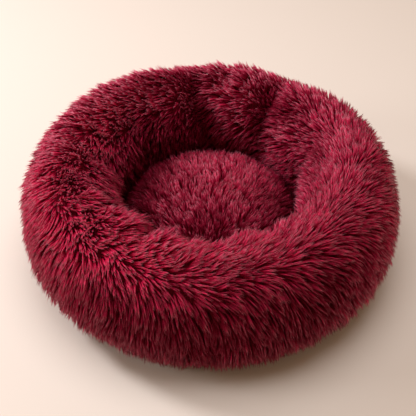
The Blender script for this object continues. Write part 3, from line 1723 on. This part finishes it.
@dataclass
class NestCushion:
    """The loose cushion: its plush top, the pile on it, its plain underside and its filling."""

    shape: CushionShape = CushionShape()
    pile_depth: float = 14 * MM
    root_depth: float = 0.5 * MM
    cover_back: float = 19.2 * MM
    underside_inset: float = 20.6 * MM
    underside_drop: float = 0.4 * MM
    underside_lift: float = 0.1 * MM
    cloth: float = 1.0 * MM
    filling_inset: float = 22.5 * MM
    filling_lift: float = 2.2 * MM
    lump_height: float = 1.2 * MM
    pile_foot: float = 2 * MM
    segments: int = 144
    cover_points: int = 40
    filling_points: int = 32
    side_points: int = 12
    floor_points: tuple[int, int] = (16, 10)
    # The seam's gathers: waves round it, their wander, how far they reach and how deep they are
    pucker_waves: int = 36
    pucker_wander: tuple[float, int] = (2.0, 5)
    pucker_reach: float = 7 * MM
    pucker_depths: tuple[float, float] = (0.5 * MM, 0.4 * MM)
    # The settling top's grid, start, cap, the heights over which it comes free, and the radii over
    # which its moves come in
    settle_columns: int = 30
    settle_start: float = 1.5 * MM
    settle_cap: float = 3 * MM
    settle_free: tuple[float, float] = (10 * MM, 0.0)
    settle_kept: tuple[float, float] = (8 * MM, 28 * MM)
    # The largest section angle at which the surface's frame is measured: it has none at the pole
    pole_angle: float = 88.0
    # Where the pile's crown lies in plan, near the front: its locks all point away from it
    crown_x: float = 2 * MM
    crown_y: float = -132 * MM
    crown_reach: float = 30 * MM
    upright_crown: float = 0.8
    upright_tuft: float = 0.2
    upright_least: float = -0.3
    # At the rim the locks lie down its side and a little along it
    rim_angles: tuple[float, float] = (45.0, 10.0)
    rim_lie: tuple[float, float] = (0.9, 0.2)
    broad_turn: float = 10.0
    tuft_turn: float = 8.0
    lengths: tuple[float, float] = (0.85, 1.12)
    length_tuft: float = 0.06
    length_foot: float = 0.3
    foot_heights: tuple[float, float] = (20 * MM, 45 * MM)
    tone: float = 0.45
    tone_lock: float = 0.18
    tone_tuft: float = 0.06
    tone_broad: float = 0.06
    pull_share: float = 0.5
    sag: float = 0.05
    openness: float = 0.25
    pile: PileSpec = PileSpec(lock_spacing=4.1 * MM, strands_per_lock=4, length=25 * MM,
                              width=1.1 * MM, lock_radius=1.9 * MM, rise_tilt=20.0,
                              lie_tilt=52.0, tuft_spacing=15 * MM, sheared_height=20 * MM,
                              seed=31)

    # Points along the profile when it is measured for the skin, and for the pile
    SKIN_POINTS = 801
    SPREAD_POINTS = 4001
    # Where the nap is paler or deeper in round spots: x, y, reach, change
    SPOTS = ((40 * MM, 60 * MM, 110 * MM, 0.22), (0.0, -90 * MM, 80 * MM, -0.4))
    # Where it is deeper towards the left or right side: x from which it changes, x to which, change
    SIDES = ((-45 * MM, -90 * MM, -0.5), (60 * MM, 110 * MM, -0.35))

    @property
    def _turns(self) -> Array:
        """The azimuths of the pieces' segments, as a column."""
        return even_azimuths(self.segments)

    def _profile(self, inset: float, height: float, count: int) -> tuple[Array, Array, Array]:
        """The radius and height from a height below the waist up to the crown.

        Args:
            inset: The profile's depth below the pile's tips.
            height: The height at which it starts.
            count: How many points.

        Returns:
            The radii, the heights, and how far the settled skin moves each of them, shape
            (segments, count, 2).
        """
        angle = np.linspace(self.shape.angle_at(height), CROWN, count)
        radius, rise = self.shape.profile(angle, inset)
        moved = self.shape.profile(angle, inset - self.shape.moves.at(self._turns, angle))
        lift = np.stack([moved[0] - radius, moved[1] - rise], -1)
        return radius, rise, np.broadcast_to(lift, (self.segments, count, 2))

    def settle(self) -> None:
        """Lets the cushion's stuffed top settle, held at its seam, and keeps its moves."""
        shape = self.shape
        angles = np.linspace(shape.angle_at(shape.seam), CROWN, self.SKIN_POINTS)
        steps = np.diff(np.stack(shape.profile(angles, self.pile_depth)))
        length = running_sum(np.hypot(*steps))
        even = np.linspace(0, length[-1], self.settle_columns + 1)[:-1]
        angles = np.interp(even, length, angles)
        radius, height = shape.profile(angles, self.pile_depth + self.settle_start)
        skin = revolved_piece("settling_cushion", np.concatenate([[0], radius, [0]]),
                              np.concatenate([height[:1], height, height[-1:]]), self.segments)
        held = np.tile(passed(height - shape.seam, *self.settle_free), self.segments)
        places = StuffedSkin().settled(skin, np.concatenate([held, [1, 0]]))
        after = places[:-2].reshape(self.segments, -1, 3)
        before = shape.point(self._turns, angles, self.pile_depth + self.settle_start)
        normal = tangents(shape, self._turns, np.minimum(angles, self.pole_angle), self.pile_depth)[2]
        moved = ((after - before) * normal).sum(-1)
        kept = passed(radius, *self.settle_kept) * np.ones_like(moved)
        self.shape = replace(shape, moves=SkinMoves.kept(angles, moved, kept, self.settle_cap))

    def puckers(self, heights: Array, depth: float) -> Array:
        """Small gathers at the seam: waves round the edge that die out a few millimetres from it.

        Args:
            heights: The profile's heights.
            depth: How deep the waves are at the seam.

        Returns:
            The moves of the profile's inner points, shape (segments, points - 2, 2).
        """
        azimuth = np.radians(self._turns)
        wander, times = self.pucker_wander
        close = np.exp(-((heights[1:-1] - self.shape.seam) / self.pucker_reach) ** 2)
        wave = np.cos(self.pucker_waves * azimuth + wander * np.sin(times * azimuth))
        wave = wave * close * depth
        return np.stack([wave, np.zeros_like(wave)], -1)

    def cover(self, material: Material) -> Object:
        """The plush top's ground cloth: a thin dome, open below its seam.

        Args:
            material: The cloth's finish.

        Returns:
            The new piece.
        """
        inner = self._profile(self.cover_back, self.shape.seam, self.cover_points)
        outer = self._profile(self.pile_depth, self.shape.seam, self.cover_points)
        radii = np.concatenate([inner[0][::-1], outer[0]])
        heights = np.concatenate([inner[1][::-1], outer[1]])
        radii[0] = radii[-1] = 0
        lift = np.concatenate([inner[2][:, ::-1], outer[2]], 1)[:, 1:-1]
        piece = revolved_piece("cushion_cover_cloth", radii, heights, self.segments,
                               lift + self.puckers(heights, self.pucker_depths[0]))
        return finish_piece(piece, Body.CUSHION, Slot.PLUSH, material, "cushion_cover")

    def underside(self, material: Material) -> Object:
        """The plain cloth underneath: a shallow dish of one layer, gathered at the top's seam.

        Args:
            material: The cloth's finish.

        Returns:
            The new piece.
        """
        seam = self.shape.seam - self.underside_drop
        low = self.shape.foot + self.underside_lift
        walls = []
        for layer in (0.0, self.cloth):
            angle = np.linspace(self.shape.angle_at(low + layer, layer),
                                self.shape.angle_at(seam, layer), self.side_points)
            side = self.shape.profile(angle, self.underside_inset + layer, layer)
            walls.append(np.stack(led_from_axis(*side, self.floor_points[0])))
        radii, heights = np.concatenate([walls[0], walls[1][:, ::-1]], 1)
        piece = revolved_piece("cushion_underside_cloth", radii, heights, self.segments,
                               self.puckers(heights, self.pucker_depths[1]))
        return finish_piece(piece, Body.CUSHION, Slot.BASE, material, "cushion_underside")

    def filling(self, material: Material) -> Object:
        """The fibre filling: a lumpy closed dome.

        Args:
            material: The fibre's finish.

        Returns:
            The new piece.
        """
        radius, height, lift = self._profile(
            self.filling_inset, self.shape.foot + self.filling_lift, self.filling_points)
        radii, heights = led_from_axis(radius, height, self.floor_points[1])
        radii[-1] = 0
        sheet = turned(radii[1:-1], self._turns, heights[1:-1])
        lump = np.clip(SoftNoise(wavelength=24 * MM, seed=33).value(sheet), -1, 1)
        drop = -(1 + lump) * self.lump_height
        still = np.zeros((self.segments, len(radii) - len(radius), 2))
        lift = np.concatenate([still, lift], 1)[:, 1:-1]
        piece = revolved_piece("cushion_filling_fibre", radii, heights, self.segments,
                               lift + np.stack([drop, np.zeros_like(drop)], -1))
        return finish_piece(piece, Body.CUSHION, Slot.WADDING, material, "cushion_filling")

    def locks(self) -> Locks:
        """Every lock of the cushion's pile.

        They point away from the pile's crown, lie down at the cushion's rim and are shorter at its
        foot. Their tone changes with the tuft and the nap.

        Returns:
            The locks.
        """
        spec, shape = self.pile, self.shape
        rng = np.random.default_rng(spec.seed)
        angles = np.linspace(shape.angle_at(shape.seam + self.pile_foot), CROWN, self.SPREAD_POINTS)
        outline = np.stack(shape.profile(angles, self.pile_depth), -1)
        azimuth, angle = spec.places(outline, angles, 1.0, rng)
        along, across, normal = tangents(shape, azimuth, np.minimum(angle, self.pole_angle),
                                         self.pile_depth)
        place = shape.point(azimuth, angle, self.pile_depth + self.root_depth)
        away = place - np.array([self.crown_x, self.crown_y, shape.crown])
        away[:, 2] = 0
        rim = passed(angle, *self.rim_angles)[:, None]
        down, sideways = self.rim_lie
        lie = unit(away) * (1 - rim) + rim * (unit(-across) * down + along * sideways)
        tufts = Tufts.over(place, spec, rng)
        turn = self.broad_turn * SoftNoise(50 * MM, seed=34).value(place)
        turn = np.radians(turn + self.tuft_turn * tufts.turn)[:, None]
        lie = lie * np.cos(turn) + np.cross(normal, lie) * np.sin(turn)
        lie = unit(along_surface(lie, normal))
        close = bump(np.linalg.norm(away, axis=-1), self.crown_reach)
        upright = np.clip(self.upright_crown * close + self.upright_tuft * tufts.stand,
                          self.upright_least, 1)

        length = spec.length * rng.uniform(*self.lengths, len(angle))
        length = length * (1 + self.length_tuft * tufts.length)
        high = passed(place[:, 2], *self.foot_heights)
        length = spec.sheared(length * (1 - self.length_foot * (1 - high)), upright)
        tone = self.tone + rng.normal(0, self.tone_lock, len(angle)) + self.tone_tuft * tufts.tone
        tone = tone + self.tone_broad * SoftNoise(40 * MM, seed=36).value(place)
        for x, y, reach, change in self.SPOTS:
            tone = tone + change * bump(np.hypot(place[:, 0] - x, place[:, 1] - y), reach)
        for start, end, change in self.SIDES:
            tone = tone + change * passed(place[:, 0], start, end)
        pull = along_surface(tufts.to_centre * spec.tuft_gather * self.pull_share, normal)
        sag, openness = (np.full(len(angle), share) for share in (self.sag, self.openness))
        return Locks(place, normal, lie, length, upright, sag, tone, pull, openness)

    def build(self, pile: Material, cloth: Material, plain: Material, fibre: Material) -> None:
        """Builds every piece of the cushion.

        Args:
            pile: The pile's finish.
            cloth: The plush top's.
            plain: The underside's.
            fibre: The filling's.
        """
        self.settle()
        self.filling(fibre)
        self.underside(plain)
        self.cover(cloth)
        locks, grower = self.locks(), Pile(self.pile)
        for name, half in (("front", locks.root[:, 1] < 0), ("back", locks.root[:, 1] >= 0)):
            piece = grower.piece(f"cushion_pile_{name}", locks.taken(half))
            finish_piece(piece, Body.CUSHION, Slot.PLUSH, pile, "cushion_cover")


@dataclass
class ClothBase:
    """The base: a coated cloth disc with grip dots, and the tape that binds its edge."""

    thickness: float = 1.6 * MM
    segments: int = 180
    rings: int = 26
    ripple_waves: int = 7
    ripple_width: float = 19 * MM
    ripple_depth: float = 0.15 * MM
    plain_rim: float = 1 * MM
    bind_gap: float = 0.3 * MM
    bind_points: int = 12
    bind_exponent: float = 3.5
    stitches: int = 240
    stitch_length: float = 3.4 * MM
    stitch_width: float = 0.5 * MM
    stitch_flatness: float = 0.6
    stitch_sink: float = 0.1 * MM

    # A stitch's rings: their places along it as shares of its length, and their girths
    STITCH_RINGS = ((-0.5, 0.2), (-0.3, 1.0), (0.3, 1.0), (0.5, 0.2))

    def disc(self, top: Material, dotted: Material) -> Object:
        """The disc: flat underneath, with a top that dips in a shallow quilt of ripples.

        Args:
            top: The finish of its top and edge.
            dotted: The finish of its underside.

        Returns:
            The new piece.
        """
        low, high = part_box("base_cloth")
        rim = (high.x - low.x) / 2
        flat = np.linspace(0, rim, self.rings)
        radii = np.concatenate([flat, flat[::-1]])
        heights = np.repeat([0, self.thickness], self.rings)
        azimuth = np.radians(even_azimuths(self.segments))
        wave = np.sin(self.ripple_waves * azimuth) * np.sin(radii[1:-1] / self.ripple_width)
        ripple = (wave - 1) * self.ripple_depth
        ripple = ripple * (heights[1:-1] > 0) * (radii[1:-1] < rim - self.plain_rim)
        piece = revolved_piece("base_cloth_disc", radii, heights, self.segments,
                               np.stack([np.zeros_like(ripple), ripple], -1))
        finish_piece(piece, Body.BED, Slot.BASE, top, "base_cloth")
        piece.data.materials.append(dotted)
        normal = np.empty(len(piece.data.polygons) * 3, np.float32)
        piece.data.polygons.foreach_get("normal", normal)
        piece.data.polygons.foreach_set("material_index", (normal[2::3] < -0.5).astype(np.int32))
        return piece

    def binding(self, material: Material) -> Object:
        """The binding: a folded tape's rounded section carried round the disc, with its stitches.

        The section is a superellipse from just outside the disc's edge to the node's outer radius;
        a stitch is a small flattened spindle lying along the tape.

        Args:
            material: The tape's finish.

        Returns:
            The new piece.
        """
        low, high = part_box("base_binding")
        disc_low, disc_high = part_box("base_cloth")
        outer, inner = (high.x - low.x) / 2, (disc_high.x - disc_low.x) / 2 + self.bind_gap
        middle, half = (outer + inner) / 2, (outer - inner) / 2
        centre, rise = (low.z + high.z) / 2, (high.z - low.z) / 2
        turn = np.radians(even_azimuths(self.bind_points)).T
        tape = turned(middle + half * power(np.cos(turn), self.bind_exponent),
                      even_azimuths(self.segments),
                      centre + rise * power(np.sin(turn), self.bind_exponent))

        places, girths = np.array(self.STITCH_RINGS).T[:, None, :, None]
        corner = np.arange(4) * np.pi / 2
        girth = girths * self.stitch_width / 2
        spot = even_azimuths(self.stitches)[..., None, None]
        step = np.degrees(places * self.stitch_length / middle)
        threads = turned(middle + girth * np.cos(corner), (spot + step)[:, 0],
                         high.z - self.stitch_sink + girth * self.stitch_flatness * np.sin(corner))
        stitch = np.concatenate([grid_quads(4, 4, False, True), [[0, 1, 2, 3], [15, 14, 13, 12]]])
        tape, threads = tape.reshape(-1, 3), threads.reshape(-1, 3)
        first = (len(tape) + np.arange(self.stitches) * 16)[:, None, None]
        quads = np.concatenate([grid_quads(self.segments, self.bind_points, True, True),
                                (first + stitch).reshape(-1, 4)])
        piece = make_piece("base_binding_tape", np.concatenate([tape, threads]), [quads])
        return finish_piece(piece, Body.BED, Slot.ZIP_CLOTH, material, "base_binding")

    def build(self, top: Material, dotted: Material, tape: Material) -> None:
        """Builds every piece of the base.

        Args:
            top: The finish of the disc's top and edge.
            dotted: The finish of its underside.
            tape: The binding's finish.
        """
        self.disc(top, dotted)
        self.binding(tape)


@dataclass
class CoverZip:
    """The zip low at the ring's back: two tapes, two coils, and the metal slider, pull and stops."""

    line: ZipLine = ZipLine()
    tape_inner: float = 3.2 * MM
    tape_outer: float = 12.2 * MM
    tape_half: float = 0.4 * MM
    tape_steps: int = 124
    coil_inner: float = 0.55 * MM
    coil_outer: float = 2.85 * MM
    coil_half: float = 1.15 * MM
    wire_half: float = 0.34 * MM
    coil_pitch: float = 1.6 * MM
    turn_steps: int = 6

    # Half of a tape's section: places across it and half thicknesses, as shares of its halves
    TAPE_SECTION = ((-1.0, 0.3), (-0.97, 0.95), (-0.8, 0.6), (0.0, 0.55), (0.8, 0.6),
                    (0.97, 0.95), (1.0, 0.3))
    METAL = ("zip_slider", "zip_pull", "zip_top_stop_lower", "zip_top_stop_upper", "zip_bottom_stop")

    def tape(self, name: str, side: int, material: Material) -> Object:
        """One tape: a thin rounded strip carried along the zip, with thick selvedges.

        Its texture places are metres along and across it, so that the weave follows the tape.

        Args:
            name: The node that it replaces.
            side: 1 for the upper tape, -1 for the lower one.
            material: The cloth's finish.

        Returns:
            The new piece.
        """
        azimuth = np.linspace(self.line.first, self.line.last, self.tape_steps)[:, None]
        middle = (self.tape_outer + self.tape_inner) / 2
        half = (self.tape_outer - self.tape_inner) / 2
        across, thick = np.array(self.TAPE_SECTION).T
        u = side * middle + np.concatenate([across, across[::-1]])[None] * half
        v = np.concatenate([-thick, thick[::-1]])[None] * self.tape_half
        strip = self.line.place(azimuth, u, v)
        columns = strip.shape[1]
        run = np.radians(azimuth) * self.line.radius
        place = np.stack(np.broadcast_arrays(run, u), -1).reshape(-1, 2)
        start = np.arange(columns)[None]
        faces = [grid_quads(self.tape_steps, columns, False, True)[:, ::-1], start,
                 start[:, ::-1] + (self.tape_steps - 1) * columns]
        piece = make_piece(name.replace("zip_tape", "zip_tape_cloth"), strip, faces,
                           [place[group] for group in faces], WEAVE_UV)
        return finish_piece(piece, Body.BED, Slot.ZIP_CLOTH, material, name)

    def coil(self, name: str, side: int, material: Material) -> Object:
        """One row of teeth: a nylon wire wound in a flattened helix along the tape's edge.

        The wire's middle is u = middle + half cos(turn), v = half height sin(turn), while the
        azimuth advances by one pitch a turn. The lower coil is half a pitch behind.

        Args:
            name: The node that it replaces.
            side: 1 for the upper coil, -1 for the lower one.
            material: The nylon's finish.

        Returns:
            The new piece.
        """
        line = self.line
        length = np.radians(line.chain_last - line.chain_first) * line.radius
        count = int(length / self.coil_pitch) * self.turn_steps + 1
        turn = np.arange(count) * 2 * np.pi / self.turn_steps
        middle = (self.coil_inner + self.coil_outer) / 2
        half = (self.coil_outer - self.coil_inner) / 2
        u = side * (middle + (half - self.wire_half) * np.cos(turn))
        v = (self.coil_half - self.wire_half) * np.sin(turn)
        azimuth = np.linspace(line.chain_first, line.chain_last, count)
        azimuth = azimuth + (0 if side > 0 else 0.5 * (azimuth[self.turn_steps] - azimuth[0]))
        centre = line.place(azimuth, u, v)
        heading = unit(np.gradient(centre, axis=0))
        axis = unit(line.place(azimuth + 1, u, v) - centre)
        wide = unit(np.cross(heading, axis))
        thick = np.cross(heading, wide)
        corner = (np.arange(4) * np.pi / 2)[:, None]
        tube = centre[:, None] + self.wire_half * (
            np.cos(corner) * wide[:, None] + np.sin(corner) * thick[:, None])
        quads = grid_quads(count, 4, False, True)[:, ::-1]
        ends = np.array([[3, 2, 1, 0], [0, 1, 2, 3]]) + np.array([[0], [(count - 1) * 4]])
        piece = make_piece(name.replace("zip_teeth", "zip_coil"), tube, [np.concatenate([quads, ends])])
        return finish_piece(piece, Body.BED, Slot.ZIP_NYLON, material, name)

    def build(self, tape: Material, nylon: Material, metal: Material) -> None:
        """Builds the tapes and coils, and dresses the metal pieces, whose shapes are already right.

        Args:
            tape: The tapes' finish.
            nylon: The coils' finish.
            metal: The finish of the slider, the pull and the stops.
        """
        for name, side in (("lower", -1), ("upper", 1)):
            self.tape(f"zip_tape_{name}", side, tape)
            self.coil(f"zip_teeth_{name}", side, nylon)
        for name in self.METAL:
            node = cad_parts[name]
            node.data.materials.clear()
            node.data.materials.append(metal)
            LOG.info("%s: dressed", name)


@dataclass(frozen=True)
class Lamp:
    """A round soft lamp that points at the bed's middle: its direction, width and power."""

    name: str
    azimuth: float
    elevation: float
    size: float
    power: float


@dataclass
class Studio:
    """The floor, the lamps, the world and the camera at the photographed angle."""

    floor_half: float = 30.0
    floor_colour: str = "#F1E8DE"
    world_colour: str = "#FFD8B2"
    world_strength: float = 0.30
    # A key lamp high on the left, a low side lamp and a wide one above
    lamps: tuple[Lamp, ...] = (
        Lamp("key_light", azimuth=160.0, elevation=39.0, size=0.6, power=36.0),
        Lamp("side_light", azimuth=186.0, elevation=22.0, size=0.8, power=13.0),
        Lamp("top_light", azimuth=0.0, elevation=90.0, size=2.0, power=31.0))
    lamp_distance: float = 2.6
    lamp_colour: str = "#FFFCFF"
    camera_elevation: float = 43.4
    camera_distance: float = 1.290
    camera_lens: float = 67.7
    camera_target: tuple[float, float, float] = (-3.4 * MM, 0.0, 75.8 * MM)

    def floor(self) -> None:
        """A large plain pale floor."""
        corners = np.array([[-1, -1, 0], [1, -1, 0], [1, 1, 0], [-1, 1, 0]]) * self.floor_half
        piece = make_piece("studio_floor", corners, [np.array([[0, 1, 2, 3]])])
        paint = MattPaint("Matt painted studio floor", roughness=0.9, specular=0.1,
                          tint=self.floor_colour)
        piece.data.materials.append(paint.material())

    def aimed(self, name: str, data: ID, azimuth: float, elevation: float, distance: float,
              target: tuple[float, float, float]) -> Object:
        """Stands a lamp or a camera at a distance from a target, aimed at it.

        Args:
            name: The object's name.
            data: The lamp or the camera.
            azimuth: The azimuth that it stands at, seen from the target.
            elevation: Its angle above the level.
            distance: How far it stands from the target.
            target: The point that it looks at.

        Returns:
            The new object.
        """
        turn, rise = math.radians(azimuth), math.radians(elevation)
        away = Vector((math.cos(turn) * math.cos(rise), math.sin(turn) * math.cos(rise), math.sin(rise)))
        holder = linked_object(name, data)
        holder.location = Vector(target) + away * distance
        holder.rotation_euler = away.to_track_quat("Z", "Y").to_euler()
        return holder

    def light(self, lamp: Lamp) -> None:
        """Sets up one lamp.

        Args:
            lamp: Its direction, width and power.
        """
        data = bpy.data.lights.new(lamp.name, "AREA")
        data.shape = "DISK"
        data.size = lamp.size
        data.energy = lamp.power
        data.color = colour(self.lamp_colour)[:3]
        self.aimed(lamp.name, data, lamp.azimuth, lamp.elevation, self.lamp_distance, (0, 0, 0))

    def world(self) -> None:
        """An even, slightly warm surround."""
        world = bpy.data.worlds.new("studio_surround")
        bpy.context.scene.world = world
        world.use_nodes = True
        background = world.node_tree.nodes["Background"]
        background.inputs["Color"].default_value = colour(self.world_colour)
        background.inputs["Strength"].default_value = self.world_strength

    def camera(self) -> None:
        """The camera on its line of sight to the target, at the photograph's height and distance."""
        data = bpy.data.cameras.new("photo_camera")
        data.lens = self.camera_lens
        bpy.context.scene.camera = self.aimed("photo_camera", data, FRONT, self.camera_elevation,
                                              self.camera_distance, self.camera_target)

    def build(self) -> None:
        """Builds the studio and sets the plain view transform."""
        self.camera()
        self.floor()
        for lamp in self.lamps:
            self.light(lamp)
        self.world()
        bpy.context.scene.view_settings.view_transform = "Standard"


def main() -> None:
    """Builds the studio and every sub-assembly, in order."""
    logging.basicConfig(level=logging.INFO, format="%(name)s: %(message)s")
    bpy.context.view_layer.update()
    Studio().build()
    plush = PlushPile("Long-pile polyester plush", roughness=0.32, specular=0.36,
                      specular_tint="#FF8098").material()
    knit = KnitBacking("Warp-knit plush backing", roughness=0.95, specular=0.1).material()
    lining = SpunLining("Spun-bonded lining", roughness=0.85, specular=0.2).material()
    fibre = FibreFill("Carded polyester fibre", roughness=0.95, specular=0.1, sheen=0.4).material()
    oxford = Woven("Oxford base cloth", roughness=0.7, specular=0.3, thread=1.3 * MM,
                   stops=((0.15, "#2A1014"), (0.85, "#4C2229"))).material()
    dotted = GripDots("Coated cloth with grip dots", roughness=0.45, specular=0.45).material()
    tape = Woven("Woven polyester tape", roughness=0.65, specular=0.3, thread=0.9 * MM,
                 stops=((0.15, "#3E0C18"), (0.85, "#6C1A2C")),
                 follows=PatternPlace.STRIP).material()
    binding = Woven("Woven binding tape", roughness=0.7, specular=0.3, thread=0.9 * MM,
                    stops=((0.15, "#380A16"), (0.85, "#5E1626"))).material()
    nylon = Worn("Moulded nylon coil", roughness=0.35, specular=0.5).material()
    zinc = Worn("Die-cast zinc, dark nickel plate", roughness=0.32, metallic=1.0, cloud=2 * MM,
                stops=((0.4, "#8A8B90"), (0.7, "#B4B5BA"))).material()
    PlushRing().build(plush, knit, lining, fibre)
    NestCushion().build(plush, knit, oxford, fibre)
    ClothBase().build(oxford, dotted, binding)
    CoverZip().build(tape, nylon, zinc)


if __name__ == "__main__":
    main()
